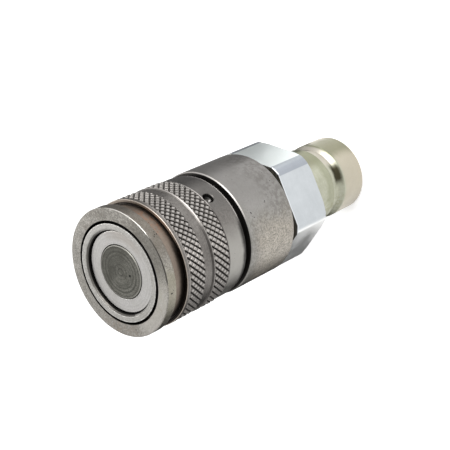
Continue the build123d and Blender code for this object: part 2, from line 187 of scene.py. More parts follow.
def tinted_by_stain_or_light(tree, colour, places, tint, strength, grain, ranges):
    """Tints a colour where every range holds, for a stain or for painted light or shade. A range is
    (from, to, soft) in mm of radius or height, or in degrees of turn, with a ragged edge; a grain in
    mm breaks the tint into specks."""
    amount = strength
    for name, (start, end, soft) in ranges.items():
        unit = math.radians(1) if name == "turn" else MM
        spread = 2 * soft * unit
        ragged = maths(tree, "MULTIPLY_ADD", places["cloud"], spread, places[name])
        rise = remap(tree, ragged, start * unit, start * unit + spread,
                     interpolation_type="SMOOTHSTEP")
        fall = remap(tree, ragged, end * unit, end * unit + spread, 1, 0,
                     interpolation_type="SMOOTHSTEP")
        amount = maths(tree, "MULTIPLY", amount, maths(tree, "MULTIPLY", rise, fall))
    if grain:
        specks = noise(tree, places["place"], grain, 3, 0.6)
        amount = maths(tree, "MULTIPLY", amount, remap(tree, specks, 0.44, 0.58))
    return blend(tree, amount, colour, linear(tint))


def turned_steel(name, pale, deep, rough, line=0.25, groove=0.02, marks=0.1, stain=5.0, stains=0.5,
                 grain=0.8, specks=0.12, pits=0.0, pit_size=0.8, patches=()):
    """Turned metal, used and oily. line, stain, grain and pit_size are the real sizes in mm of
    tool marks, stains, specks and pits; marks, stains, specks and pits say how strong each is,
    and groove is the depth of the marks in mm. patches, stains or painted light and shade, are
    (colour, strength, grain, ranges)."""
    material, tree = empty_material(name)
    places = axis_places(tree)
    place = places["place"]
    # The tool's path: outwards over a face, along over a side.
    path = maths(tree, "MULTIPLY_ADD", places["height"], 1.37, places["radius"])
    lines = add(tree, "TexNoise", {"W": path, "Scale": 1 / (line * MM), "Detail": 3, "Roughness": 0.7},
                noise_dimensions="1D").outputs["Fac"]
    cloud = places["cloud"] = noise(tree, place, stain, 7, 0.68)
    fine = noise(tree, place, grain, 4, 0.75)
    tone = remap(tree, cloud, 0.5 - 0.28 * stains, 0.5 + 0.28 * stains + 0.05)
    speck = remap(tree, fine, 0.36, 0.64, 1 - 1.3 * specks, 1 + specks)
    streak = remap(tree, lines, 0.3, 0.7, 1 - marks, 1 + marks)
    colour = blend(tree, tone, linear(deep), linear(pale))
    colour = add(tree, "VectorMath", {0: colour, "Scale": maths(tree, "MULTIPLY", speck, streak)},
                 operation="SCALE").outputs[0]
    for patch in patches:
        colour = tinted_by_stain_or_light(tree, colour, places, *patch)
    relief = maths(tree, "MULTIPLY_ADD", lines, 0.8, fine)
    roughness = remap(tree, cloud, 0.3, 0.7, rough + 0.12, rough - 0.05)
    if pits:
        # A pit lies in the middle of a cell, where a second cloud is strong enough.
        cells = add(tree, "TexVoronoi", {"Vector": place, "Scale": 1 / (pit_size * MM),
                                         "Randomness": 1}).outputs["Distance"]
        size = remap(tree, noise(tree, place, 3, 2), 0.62 - 0.2 * pits, 0.75, 0, 0.38)
        pit = remap(tree, maths(tree, "SUBTRACT", size, cells), 0, 0.12)
        colour = blend(tree, pit, colour, linear("2b2926"))
        relief = maths(tree, "MULTIPLY_ADD", pit, -3, relief)
    bump = add(tree, "Bump", {"Height": relief, "Distance": groove * MM, "Strength": 0.6})
    surface = add(tree, "BsdfPrincipled", {"Base Color": colour, "Metallic": 1,
                                           "Roughness": roughness, "Normal": bump.outputs[0]})
    add(tree, "OutputMaterial", {"Surface": surface.outputs[0]})
    return material


def seal_groove(radius, section, height):
    """The corners, from high to low, of a square groove for a seal in an outer side."""
    high, low = height + section / 2, height - section / 2
    return [(radius, high), (radius - section, high), (radius - section, low), (radius, low)]


# Dark oiled steel: its turning marks, half a millimetre apart, catch the light as dull rings, and one
# half of the face is painted darker as shade.
# One pit, 0.7 mm across, lies half way to the near edge, and the rim carries a painted highlight.
stem_steel = turned_steel(
    "oiled turned steel", "6c6b65", "44433d", 0.40, line=0.55, groove=0.06, marks=0.40, stain=3.2,
    stains=1.0, grain=0.5, specks=0.28,
    patches=(("3a3934", 0.5, 0, {"radius": (1.5, 8, 1), "turn": (-55, 110, 25)}),
             ("a5a39c", 0.55, 0, {"radius": (stem_radius - stem_edge - 0.12, past_side, 0.05),
                                  "height": (stem_height - 0.4, past_face, 0.05)}),
             ("0f0e0d", 0.97, 0, {"radius": (3.25, 3.95, 0.08), "turn": (-123.5, -113, 1)})),
)
stem = turned("centre_stem.turned", [
    (0, stem_height),
    (stem_radius - stem_edge, stem_height),
    (stem_radius, stem_height - stem_edge),
    *seal_groove(stem_radius, stem_seal_section, stem_seal_height),
    (stem_radius, stem_head_low),
    (shank_radius + shank_cone, stem_head_low),
    (shank_radius, stem_head_low - shank_cone),
    (shank_radius, carrier_high),
    (stem_tail_radius, carrier_high),
    (stem_tail_radius, stem_tail_low),
    (0, stem_tail_low),
])
finish_piece(stem, stem_steel, "coupler_body", "stem_steel", "centre_stem")

# Valve sleeve: the bright ring round the stem, 1.2 mm below the front face.
# It is ground steel on a spring, and slides back when the nipple's nose pushes it in.
nose_radius = 12.25
running = 0.1
valve_edge = 0.35
valve_bore_edge = 0.15
valve_web_high = 91.0
valve_web_low = 89.2
valve_web_radius = 6.0
valve_skirt_low = 82.6
valve_skirt_bore = 9.6
valve_seal_height = valve_skirt_low + 2.05
valve_seal_section = 1.7
# Ground steel: a pale, even satin, painted darker on one side as shade, and painted black as shade in
# the gap round the stem.
valve_steel = turned_steel(
    "ground valve steel", "bcbab8", "a09e9a", 0.30, line=0.45, groove=0.015, marks=0.07, stain=5,
    stains=0.9, grain=0.5, specks=0.09,
    patches=(("8f8880", 0.5, 0, {"turn": (-75, 0, 20), "radius": (9.5, 12.3, 0.8)}),
             ("2e2c29", 0.9, 0, {"radius": (stem_radius, stem_radius + 0.26, 0.03)})),
)
valve = turned("valve_sleeve.turned", [
    (stem_radius + running + valve_bore_edge, valve_height),
    (nose_radius - valve_edge, valve_height),
    (nose_radius, valve_height - valve_edge),
    *seal_groove(nose_radius, valve_seal_section, valve_seal_height),
    (nose_radius, valve_skirt_low),
    (valve_skirt_bore, valve_skirt_low),
    (valve_skirt_bore, valve_web_low),
    (valve_web_radius, valve_web_low),
    (valve_web_radius, valve_web_high),
    (stem_radius + running, valve_web_high),
    (stem_radius + running, valve_height - valve_bore_edge),
])
finish_piece(valve, valve_steel, "female_valve", "valve_steel", "valve_sleeve")

# Ball cage: the inner front ring, a long steel tube with a small lead-in at its mouth.
# Eight tapered windows further in hold the lock balls, and it is screwed into the body.
cage_radius = 14.5
cage_bore = nose_radius + running
cage_lead_in = 0.6
cage_low = 68.6
cage_shoulder = 75.6
cage_spigot_radius = 13.9
cage_seal_high = face_height - 10.4
cage_seal_low = cage_seal_high - 2.2
cage_seal_floor = 13.7
spigot_seal_height = cage_low + 1.8
spigot_seal_section = 1.0
ball_height = 93.25
ball_radius = 1.75
ball_count = 8
window_slack = 0.1
window_radius = ball_radius + window_slack
window_taper = 0.17


def cut(piece, cutter, operation="DIFFERENCE"):
    """Cuts a closed piece with another, which is used up."""
    pick(piece)
    cutting = piece.modifiers.new("cut", "BOOLEAN")
    cutting.operation = operation
    cutting.solver = "EXACT"
    cutting.object = cutter
    bpy.ops.object.modifier_apply(modifier=cutting.name)
    bpy.data.objects.remove(cutter)


def around(radius, turn, height):
    """A place in metres, at a radius and a height in mm and a turn about the axis."""
    return (radius * math.cos(turn) * MM, radius * math.sin(turn) * MM, height * MM)


def drill(piece, inner_radius, outer_radius, depth, orbit, turn, height, sides=48):
    """Cuts a straight or tapered round hole into a piece's side, centred on orbit."""
    bpy.ops.object.select_all(action="DESELECT")
    bpy.ops.mesh.primitive_cone_add(
        vertices=sides, radius1=inner_radius * MM, radius2=outer_radius * MM, depth=depth * MM,
        location=around(orbit, turn, height), rotation=(0, math.pi / 2, turn),
    )
    cut(piece, bpy.context.object)


# Turned steel: a satin front with a bright worn rim; its mouth is painted dark on one side and pale on
# the other as painted shade and highlight, and its bore and its side in the gap to the front ring are
# painted black as shade.
cage_steel = turned_steel(
    "turned cage steel", "b5b3af", "8b8984", 0.34, line=0.45, groove=0.02, marks=0.12, stain=3,
    stains=1.0, grain=0.5, specks=0.18, pits=0.2, pit_size=0.7,
    patches=(("4a4743", 0.85, 0, {"radius": (cage_bore + 0.05, cage_bore + cage_lead_in - 0.1, 0.1),
                                  "turn": (10, 190, 15)}),
             ("c8c5c0", 0.5, 0, {"radius": (cage_bore + 0.1, cage_bore + cage_lead_in, 0.06),
                                 "turn": (-150, 0, 15)}),
             ("141312", 0.97, 0, {"radius": (0, cage_bore + 0.12, 0.04)}),
             ("d2d0cc", 0.6, 0.9, {"radius": (cage_radius - 0.3, past_side, 0.06)}),
             ("34322e", 0.9, 0, {"height": (90, face_height - 0.25, 0.06),
                                 "radius": (cage_radius - 0.02, past_side, 0.01)})),
)
cage = turned("ball_cage.turned", [
    (cage_bore + cage_lead_in, face_height),
    (cage_radius, face_height),
    (cage_radius, cage_shoulder),
    (cage_spigot_radius, cage_shoulder),
    *seal_groove(cage_spigot_radius, spigot_seal_section, spigot_seal_height),
    (cage_spigot_radius, cage_low),
    (cage_bore, cage_low),
    (cage_bore, cage_seal_low),
    (cage_seal_floor, cage_seal_low),
    (cage_seal_floor, cage_seal_high),
    (cage_bore, cage_seal_high),
    (cage_bore, face_height - cage_lead_in),
])
ball_turns = [2 * math.pi * index / ball_count for index in range(ball_count)]
# The drill is twice as deep as the wall, so the taper over the wall is half of the drill's.
for turn in ball_turns:
    drill(cage, window_radius - window_taper * 1.5, window_radius + window_taper * 0.5,
          2 * (cage_radius - cage_bore), (cage_bore + cage_radius) / 2, turn, ball_height, sides=32)
finish_piece(cage, cage_steel, "coupler_body", "cage_steel", "ball_cage")

# Lock balls: eight hardened and polished bearing balls in the cage's windows.
# They stand outwards in the front ring's recess until a nose is pushed in.
ball_slack = 0.05
ball_orbit = nose_radius + ball_slack + ball_radius
# Polished steel: nearly a mirror, so each ball holds the whole room in one small picture.
ball_steel = turned_steel("polished ball steel", "d4d2cf", "bdbbb8", 0.16, line=0.5, groove=0.001,
                          stain=3, stains=0.4)


def ball(name, radius, place, material, body, node):
    """A smooth steel ball."""
    bpy.ops.object.select_all(action="DESELECT")
    bpy.ops.mesh.primitive_uv_sphere_add(segments=48, ring_count=24, radius=radius * MM,
                                         location=place)
    bpy.ops.object.transform_apply(location=True, rotation=True, scale=True)
    made = bpy.context.object
    made.name = made.data.name = name
    bpy.ops.object.shade_smooth()
    made.data.materials.append(material)
    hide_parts(node)
    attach(made, body)


for number, turn in enumerate(ball_turns, start=1):
    ball(f"locking_ball_{number}.ball", ball_radius, around(ball_orbit, turn, ball_height),
         ball_steel, "coupler_body", f"locking_ball_{number}")

# Front ring: the outer band with an edge painted with a highlight and a dark reflection, and behind it
# a narrower neck gone brown.
# Its spigot carries the knurled sleeve, and its inside has the balls' recess, ramp and land.
outer_radius = 19.0
ring_recess = 0.15
ring_front = face_height - ring_recess
ring_gap = 0.75
ring_bore = cage_radius + ring_gap
ring_edge = 0.14
ring_back_edge = 0.4
band_low = 95.9
neck_front_radius = 17.7
neck_back_radius = 17.4
lip_height = 91.7
lip_depth = 0.9
ring_spigot_radius = 17.2
ring_tail = 85.6
land_radius = cage_radius + running
recess_slack = 0.3
recess_radius = ball_orbit + ball_radius + recess_slack
front_wall = 1.3
recess_high = face_height - front_wall
ramp_slack = 0.15


def ramp_height(radius):
    """Height of the ring's 45 degree ramp, which all but touches the balls."""
    return ball_height + radius - ball_orbit - (ball_radius + ramp_slack) * math.sqrt(2)


# Worn steel: matt and pitted in front, and brown with old oil on the neck. Over this lies painted
# light: the face and the band painted darker on one side and lighter on the other, a painted highlight
# and a dark painted reflection at the corner, painted shade on the neck under the sleeve's lip, and
# painted black shade in the bore towards the cage.
front_face = (ring_front - 0.3, past_face, 0.1)
outer_band = (band_low - 0.2, ring_front - 0.2, 0.4)
ring_steel = turned_steel(
    "ring steel, worn and painted with light and shade", "a5a29c", "6d6a64", 0.38, line=0.5, groove=0.03, marks=0.10, stain=2.6,
    stains=1.3, grain=0.42, specks=0.34, pits=0.5, pit_size=0.7,
    patches=(("5d5b55", 0.55, 0, {"height": front_face, "turn": (-102, -52, 10)}),
             ("55534e", 0.5, 0.7, {"height": front_face, "turn": (-100, 5, 16)}),
             ("b5b1ab", 0.5, 0, {"height": front_face, "turn": (-178, -115, 12),
                                 "radius": (14, 18.8, 0.4)}),
             ("837a70", 0.6, 0.9, {"height": front_face, "turn": (135, 179, 12),
                                   "radius": (14, 18.8, 0.4)}),
             ("625b52", 0.7, 0, {"height": outer_band, "turn": (-88, 40, 12)}),
             ("8f8a79", 0.6, 0, {"height": outer_band, "turn": (-150, -98, 10)}),
             ("7b6e63", 0.85, 0, {"height": (lip_height - 2, band_low + 0.1, 0.3)}),
             ("94694e", 0.45, 1.2, {"height": (lip_height + 0.6, band_low, 0.5),
                                    "turn": (-66, -34, 8)}),
             ("3d332d", 0.6, 0, {"height": (lip_height - 2, lip_height + 0.1, 0.3),
                                 "turn": (-80, 60, 8)}),
             ("2f2823", 0.75, 0, {"height": (lip_height - 2, lip_height + 1.3, 0.9),
                                  "turn": (-185, -84, 8)}),
             ("dcd9d4", 0.8, 0, {"radius": (outer_radius - ring_edge, past_side, 0.03),
                                 "height": (ring_front - ring_edge, past_face, 0.03),
                                 "turn": (-66, -22, 6)}),
             ("3a3834", 0.85, 0, {"radius": (outer_radius - ring_edge - 0.1, past_side, 0.03),
                                  "height": (ring_front - ring_edge - 0.1, past_face, 0.03),
                                  "turn": (-110, -66, 3)}),
             ("1b1a18", 0.95, 0, {"radius": (13, ring_bore + 0.1, 0.05)})),
)
ring = turned("nose_ring.turned", [
    (ring_bore, ring_front),
    (outer_radius - ring_edge, ring_front),
    (outer_radius, ring_front - ring_edge),
    (outer_radius, band_low + ring_back_edge),
    (outer_radius - ring_back_edge, band_low),
    (neck_front_radius, band_low),
    (neck_back_radius, lip_height - lip_depth),
    (ring_spigot_radius, lip_height - lip_depth),
    (ring_spigot_radius, ring_tail),
    (land_radius, ring_tail),
    (land_radius, ramp_height(land_radius)),
    (recess_radius, ramp_height(recess_radius)),
    (recess_radius, recess_high),
    (ring_bore, recess_high),
])
finish_piece(ring, ring_steel, "knurled_sleeve", "ring_steel", "nose_ring")

# Knurled sleeve: dark steel with two bands of diamond knurl, a waist between them and a tail.
# The diamonds are cut about 2 mm apart at 45 degrees, and their flat crests are painted paler.
sleeve_low = 66.4
lip_chamfer = 0.15
lip_bore = neck_back_radius + 0.5
front_knurl_high = 90.5
front_knurl_low = 84.15
rear_knurl_high = 81.1
rear_knurl_low = 74.1
waist_depth = 0.45
waist_radius = outer_radius - waist_depth
tail_radius = outer_radius - 0.3
crown_length = 2.6
crown_depth = 0.4
crown_steps = 6
guide_bore = 16.9
sleeve_step = 75.5
knurl_depth = 0.4
knurl_flank = 0.36
knurl_count = 58
knurl_rows = 3
knurl_rim = 0.35
knurl_foot = 0.1
knurl_head = 0.2
knurl_overlap = 0.02
floor_radius = outer_radius - knurl_depth + knurl_overlap
knurl_bands = {"front_knurl": (front_knurl_low, front_knurl_high),
               "rear_knurl": (rear_knurl_low, rear_knurl_high - waist_depth)}
hole_turn = math.radians(-57)
hole_height = 72.1
hole_radius = 1.7
hole_mouth = 1.9
drill_orbit = 18.0
drill_depth = 4.0


def knurl(name, low, high, rows):
    """A band of flat-topped diamonds, rows high, as an open strip over the sleeve."""
    radius = outer_radius - knurl_depth
    bpy.ops.object.select_all(action="DESELECT")
    bpy.ops.mesh.primitive_cylinder_add(
        vertices=knurl_count, radius=radius * MM, depth=(high - low) * MM,
        end_fill_type="NOTHING", location=(0, 0, (high + low) / 2 * MM),
    )
    bpy.ops.object.transform_apply(location=True, rotation=True, scale=True)
    strip = bpy.context.object
    strip.name = strip.data.name = name
    mesh = strip.data
    # The upright edges are divided, which makes the rows of squares.
    bpy.ops.object.mode_set(mode="EDIT")
    bpy.ops.mesh.select_mode(type="EDGE")
    bpy.ops.mesh.select_all(action="DESELECT")
    bpy.ops.object.mode_set(mode="OBJECT")
    for edge in mesh.edges:
        start, end = (mesh.vertices[v].co for v in edge.vertices)
        edge.select = abs(start.z - end.z) > 1 * MM
    bpy.ops.object.mode_set(mode="EDIT")
    bpy.ops.mesh.subdivide(number_cuts=rows - 1)
    # A point in the middle of each square, and the squares' own sides taken out.
    bpy.ops.object.mode_set(mode="OBJECT")
    corners = len(mesh.vertices)
    bpy.ops.object.mode_set(mode="EDIT")
    bpy.ops.mesh.select_all(action="SELECT")
    bpy.ops.mesh.poke()
    bpy.ops.mesh.select_all(action="DESELECT")
    bpy.ops.object.mode_set(mode="OBJECT")
    for edge in mesh.edges:
        heights = [mesh.vertices[v].co.z / MM for v in edge.vertices]
        inside = low + 0.1 < sum(heights) / 2 < high - 0.1
        edge.select = inside and max(edge.vertices) < corners
    bpy.ops.object.mode_set(mode="EDIT")
    bpy.ops.mesh.dissolve_edges(use_verts=False)
    # The middle points go out to the true radius, and each diamond is raised by its depth.
    bpy.ops.mesh.select_mode(type="VERT")
    bpy.ops.mesh.select_all(action="DESELECT")
    bpy.ops.object.mode_set(mode="OBJECT")
    for vertex in mesh.vertices:
        vertex.select = vertex.co.xy.length < (radius - 0.01) * MM
    bpy.ops.object.mode_set(mode="EDIT")
    swell = 1 / math.cos(math.pi / knurl_count)
    bpy.ops.transform.resize(value=(swell, swell, 1), center_override=(0, 0, 0))
    bpy.ops.mesh.select_mode(type="FACE")
    bpy.ops.mesh.select_all(action="SELECT")
    bpy.ops.mesh.inset(thickness=knurl_flank * MM, depth=knurl_depth * MM, use_individual=True,
                       use_even_offset=True)
    bpy.ops.mesh.select_all(action="DESELECT")
    bpy.ops.object.mode_set(mode="OBJECT")
    return strip


def knurled_steel_finish():
    """Dark steel: darker in the knurl's grooves and paler on its crests, with painted highlights and
    painted shade in lines along the lip, the bands' edges and the tail's end, the tail painted lighter
    below and darker on top, and one hand's grooves painted lighter as a reflection.
    """
    tail = (0, rear_knurl_low, 0.2)
    lip_face = (lip_height - 0.05, past_face, 0.01)
    lip_rim = outer_radius - lip_chamfer - 0.06
    material = turned_steel(
        "knurled steel, worn and painted with light and shade", "7d7a76", "615d5a", 0.38, line=0.6, groove=0.02, marks=0.06, stain=4,
        stains=1.0, grain=0.5, specks=0.16, pits=0.25, pit_size=0.8,
        patches=(("9b9994", 0.85, 0, {"height": tail, "turn": (-178, -94, 14)}),
                 ("565452", 0.7, 0, {"height": tail, "turn": (-72, 60, 14)}),
                 ("4a4744", 0.6, 0.6, {"height": (rear_knurl_low, rear_knurl_high, 0.3),
                                       "turn": (-112, -92, 5)}),
                 ("8a8076", 0.8, 0, {"height": lip_face, "radius": (0, lip_rim, 0.03)}),
                 ("1d1916", 0.95, 0, {"height": lip_face, "radius": (0, 18.2, 0.08)}),
                 ("1d1916", 0.9, 0, {"height": lip_face, "radius": (0, lip_rim, 0.03),
                                     "turn": (-185, -82, 6)}),
                 ("b0a59a", 0.8, 0, {"height": (lip_height - lip_chamfer, past_face, 0.03),
                                     "radius": (lip_rim, past_side, 0.02)}),
                 ("a39e99", 0.7, 0, {"height": (front_knurl_high + 0.05, front_knurl_high + 0.25,
                                                0.05)}),
                 ("b1aca8", 0.6, 0, {"height": (rear_knurl_high - 0.45, rear_knurl_high - 0.26, 0.03),
                                     "turn": (-74, 30, 6)}),
                 ("5f5c59", 0.8, 0, {"height": (rear_knurl_high - 0.24, rear_knurl_high - 0.02, 0.03),
                                     "turn": (-80, 30, 6)}),
                 ("3d3a38", 0.7, 0, {"height": (rear_knurl_high - 0.35, rear_knurl_high + 0.15, 0.05),
                                     "turn": (-170, -80, 5)}),
                 ("bdb8b4", 0.8, 0, {"height": (rear_knurl_low - 0.32, rear_knurl_low - 0.02, 0.03),
                                     "turn": (-64, 20, 5)}),
                 ("3a3735", 0.8, 0, {"height": (rear_knurl_low - 0.3, rear_knurl_low, 0.04),
                                     "turn": (-170, -68, 4)}),
                 ("d0cbc7", 0.85, 0, {"height": (sleeve_low + 0.05, sleeve_low + 0.5, 0.05),
                                      "turn": (-84, 0, 6)}),
                 ("262422", 0.9, 0, {"height": (sleeve_low - 0.5, sleeve_low + 1.5, 0.8),
                                     "turn": (-178, -88, 8)})),
    )
    tree = material.node_tree
    surface = next(node for node in tree.nodes if node.type == "BSDF_PRINCIPLED")
    colour = surface.inputs["Base Color"].links[0].from_socket
    places = axis_places(tree)
    bands = lit_grooves = 0
    for low, high in knurl_bands.values():
        above = maths(tree, "GREATER_THAN", places["height"], low * MM)
        below = maths(tree, "LESS_THAN", places["height"], high * MM)
        band = maths(tree, "MULTIPLY", above, below)
        bands = maths(tree, "MAXIMUM", bands, band)
        # Rows counted along the height and diamonds round the turn: grooves lie at the halves.
        row = (high - low) / knurl_rows
        along = maths(tree, "MULTIPLY_ADD", places["height"], 1 / (row * MM), -low / row)
        grooves = []
        for hand in (1, -1):
            across = maths(tree, "MULTIPLY_ADD", places["turn"], hand * knurl_count / 2 / math.pi,
                           along)
            away = maths(tree, "SUBTRACT", maths(tree, "FRACT", across), 0.5)
            grooves.append(remap(tree, maths(tree, "ABSOLUTE", away), 0.14, 0.26, 1, 0))
        steep = maths(tree, "MULTIPLY", grooves[0], maths(tree, "SUBTRACT", 1, grooves[1]))
        lit_grooves = maths(tree, "MAXIMUM", lit_grooves, maths(tree, "MULTIPLY", steep, band))
    crest = remap(tree, places["radius"], (outer_radius - 0.12) * MM, (outer_radius - 0.01) * MM,
                  0, 0.55)
    deep = remap(tree, places["radius"], (outer_radius - 0.30) * MM, (outer_radius - 0.10) * MM,
                 1, 0)
    colour = blend(tree, maths(tree, "MULTIPLY", crest, bands), colour, linear("bbb7b3"))
    colour = blend(tree, maths(tree, "MULTIPLY", deep, bands), colour, linear("1c1a18"))
    # The grooves of one hand are painted lighter, a painted reflection of the bright surround in their
    # flanks.
    colour = blend(tree, maths(tree, "MULTIPLY", lit_grooves, 0.85), colour, linear("7c7874"))
    tree.links.new(colour, surface.inputs["Base Color"])
    return material


# Dark steel: the knurl's crests are painted paler, the tail is painted lighter below and darker on top
# as painted light and shade, and the tail and the waist have a dull sheen.
knurled_steel = knurled_steel_finish()
# The tail's crown is one arc, upright where it starts.
crown_turn = 2 * math.atan2(crown_depth, crown_length)
crown_radius = crown_length / math.sin(crown_turn)
crown = [
    (tail_radius - crown_radius * (1 - math.cos(angle)),
     sleeve_low + crown_length - crown_radius * math.sin(angle))
    for angle in [crown_turn * step / crown_steps for step in range(1, crown_steps)]
]
sleeve = turned("locking_sleeve.turned", [
    (tail_radius, sleeve_low + crown_length),
    (tail_radius, rear_knurl_low - knurl_foot / 2),
    (floor_radius, rear_knurl_low + knurl_foot),
    (floor_radius, rear_knurl_high - knurl_rim - waist_depth),
    (outer_radius, rear_knurl_high - knurl_rim - waist_depth + knurl_head),
    (outer_radius, rear_knurl_high - waist_depth),
    (waist_radius, rear_knurl_high),
    (waist_radius, front_knurl_low),
    (floor_radius, front_knurl_low + knurl_foot),
    (floor_radius, front_knurl_high - knurl_head),
    (outer_radius, front_knurl_high),
    (outer_radius, lip_height - lip_chamfer),
    (outer_radius - lip_chamfer, lip_height),
    (lip_bore, lip_height),
    (lip_bore, lip_height - lip_depth),
    (ring_spigot_radius, lip_height - lip_depth),
    (ring_spigot_radius, sleeve_step),
    (guide_bore, sleeve_step),
    (guide_bore, sleeve_low),
    (tail_radius - crown_depth, sleeve_low),
    *crown[::-1],
], edge=0.03)
drill(sleeve, hole_radius, hole_radius, drill_depth, drill_orbit, hole_turn, hole_height)
# The hole's mouth is opened by a 45 degree countersink, centred on the sleeve's skin.
mouth_depth = hole_mouth - hole_radius
drill(sleeve, hole_radius, hole_mouth + mouth_depth, 2 * mouth_depth, tail_radius, hole_turn,
      hole_height)
strips = [knurl(name, low, high, knurl_rows) for name, (low, high) in knurl_bands.items()]
bpy.ops.object.select_all(action="DESELECT")
for part in (*strips, sleeve):
    part.select_set(True)
bpy.context.view_layer.objects.active = sleeve
bpy.ops.object.join()
finish_piece(sleeve, knurled_steel, "knurled_sleeve", "knurled_steel", "locking_sleeve")

# Retaining ball: a dark, dull ball dropped through the sleeve's hole into the body's groove.
# It stops the sleeve from leaving the body, and sits a little below the sleeve's skin.
retaining_orbit = 16.9
retaining_radius = 1.6
# Dark steel: nearly black, with one side painted black as shade and one small painted highlight near
# its edge.
shaded_ball_steel = turned_steel(
    "ball steel painted with shade and highlight", "5d5b58", "2a2926", 0.30, line=0.5, groove=0.004, marks=0.05, stain=1.4,
    stains=0.7, grain=0.6, specks=0.2,
    patches=(("0f0e0d", 0.96, 0, {"turn": (-57.5, -40, 1.2)}),
             ("c9c6c2", 0.85, 0, {"turn": (-60.5, -59, 0.5), "height": (70.8, 72.6, 0.2)})),
)
ball("sleeve_retaining_ball.ball", retaining_radius,
     around(retaining_orbit, hole_turn, hole_height), shaded_ball_steel, "knurled_sleeve",
     "sleeve_retaining_ball")

# Rear body: a heavy grey steel barrel, pitted and oily, with a painted highlight on the chamfer in
# front.
# The sleeve's guide runs on in front of it, where the gap to the sleeve is painted black as shade.
body_low = 45.1
body_high = 64.7
body_chamfer = 0.35
rear_chamfer = 0.25
guide_radius = 16.8
guide_high = 75.6
groove_low = 68.9
groove_high = 73.8
groove_floor = 15.2
spigot_radius = 14.4
# Grey steel: a dull sheen with pits and rubbed patches, painted darker on top and lighter below as
# painted shade and reflection, a dark band of painted shadow along the bottom edge, a painted
# highlight on the front edge, and painted black shade in the gap in front of it.
body_steel = turned_steel(
    "grey body steel", "a09e9b", "84827d", 0.42, line=0.9, groove=0.025, marks=0.04, stain=6,
    stains=0.9, grain=0.5, specks=0.09, pits=0.5, pit_size=0.9,
    patches=(("757371", 0.7, 0, {"turn": (-82, 60, 22), "height": (44, 66, 2)}),
             ("a0998f", 0.6, 0, {"turn": (-175, -98, 14), "height": (44, 62, 2.5)}),
             ("6b6861", 0.6, 0.6, {"turn": (-175, -88, 12), "height": (44, 64, 2)}),
             ("c4bdb0", 0.45, 0.5, {"turn": (-170, -105, 12), "height": (46, 60, 3)}),
             ("63605c", 0.55, 1.4, {"turn": (-92, -20, 10), "height": (44, 54, 3.5)}),
             ("393633", 0.85, 0, {"turn": (-181, -160, 5), "height": (44, 66, 1)}),
             ("b5b1ad", 0.6, 0, {"radius": (outer_radius - 0.30, past_side, 0.04),
                                 "height": (body_high - body_chamfer - 0.02, past_face, 0.03),
                                 "turn": (-88, 30, 8)}),
             ("2a2826", 0.92, 0, {"radius": (14, outer_radius - body_chamfer + 0.05, 0.04),
                                  "height": (body_high - 0.3, 69, 0.04)}),
             ("4a4741", 0.6, 0, {"height": (44, body_low + 0.3, 0.08)})),
)
rear = turned("rear_body.turned", [
    (spigot_radius, body_low),
    (outer_radius - rear_chamfer, body_low),
    (outer_radius, body_low + rear_chamfer),
    (outer_radius, body_high - body_chamfer),
    (outer_radius - body_chamfer, body_high),
    (guide_radius, body_high),
    (guide_radius, groove_low),
    (groove_floor, groove_low),
    (groove_floor, groove_high),
    (guide_radius, groove_high),
    (guide_radius, guide_high),
    (cage_spigot_radius, guide_high),
    (cage_spigot_radius, cage_low),
    (cage_bore, cage_low),
    (cage_bore, carrier_high),
    (spigot_radius, carrier_high),
])
finish_piece(rear, body_steel, "coupler_body", "body_steel", "rear_body")

# Hexagon adaptor: zinc-plated steel, bluish white, 34 mm across its flats.
# Its corners are turned to the body's diameter, and a dark turned relief parts it from the body.
hexagon_low = 28.7
hexagon_flats = 34.0
hexagon_edge = 1.3
hexagon_rise = hexagon_edge * math.tan(math.radians(30))
hexagon_front_edge = 0.2
relief_low = body_low - 1.8
relief_radius = 16.2
adaptor_high = 57.7
adaptor_bore = 8.6
adaptor_flare = 2.4
nipple_spigot_radius = 11.0
nipple_spigot_high = 39.2
nipple_seal_section = 0.9
adaptor_seal_height = body_low + 3.0
adaptor_seal_section = 1.6
# Zinc plate: smooth and bluish, with two sides painted nearly white as a painted highlight, the turned
# corners painted darker as shade, and a painted highlight along the front edge.
zinc = turned_steel(
    "blue zinc plate", "b9bdc0", "b1b5b8", 0.34, line=2, groove=0.004, marks=0.01, stain=9,
    stains=0.8, grain=2.5, specks=0.02,
    patches=(("e6ecea", 0.75, 0, {"turn": (-59, 3, 2)}),
             ("eeeeec", 0.8, 0, {"turn": (-181, -121, 2)}),
             ("8d929a", 0.8, 0, {"radius": (18.6, past_side, 0.05), "turn": (-100, 180, 1)}),
             ("d9dcdf", 0.7, 0, {"height": (relief_low - 0.35, relief_low - 0.02, 0.08)}),
             ("a9a79d", 0.85, 0, {"height": (relief_low - 0.02, body_low + 1, 0.02)}),
             ("6a685f", 0.2, 0, {"height": (relief_low - 0.02, body_low + 1, 0.02),
                                 "radius": (15, relief_radius + 0.5, 0.2)})),
)
hexagon = turned("hex_adaptor.turned", [
    (nipple_spigot_radius + nipple_seal_section, hexagon_low),
    (outer_radius - hexagon_edge, hexagon_low),
    (outer_radius, hexagon_low + hexagon_rise),
    (outer_radius, relief_low - hexagon_front_edge),
    (outer_radius - hexagon_front_edge, relief_low),
    (relief_radius, relief_low),
    (relief_radius, body_low),
    (spigot_radius, body_low),
    *seal_groove(spigot_radius, adaptor_seal_section, adaptor_seal_height)[::-1],
    (spigot_radius, adaptor_high),
    (adaptor_bore + adaptor_flare, adaptor_high),
    (adaptor_bore, adaptor_high - adaptor_flare),
    (adaptor_bore, nipple_spigot_high + running),
    (nipple_spigot_radius, nipple_spigot_high + running),
    (nipple_spigot_radius, hexagon_low + nipple_seal_section),
    (nipple_spigot_radius + nipple_seal_section, hexagon_low + nipple_seal_section),
])
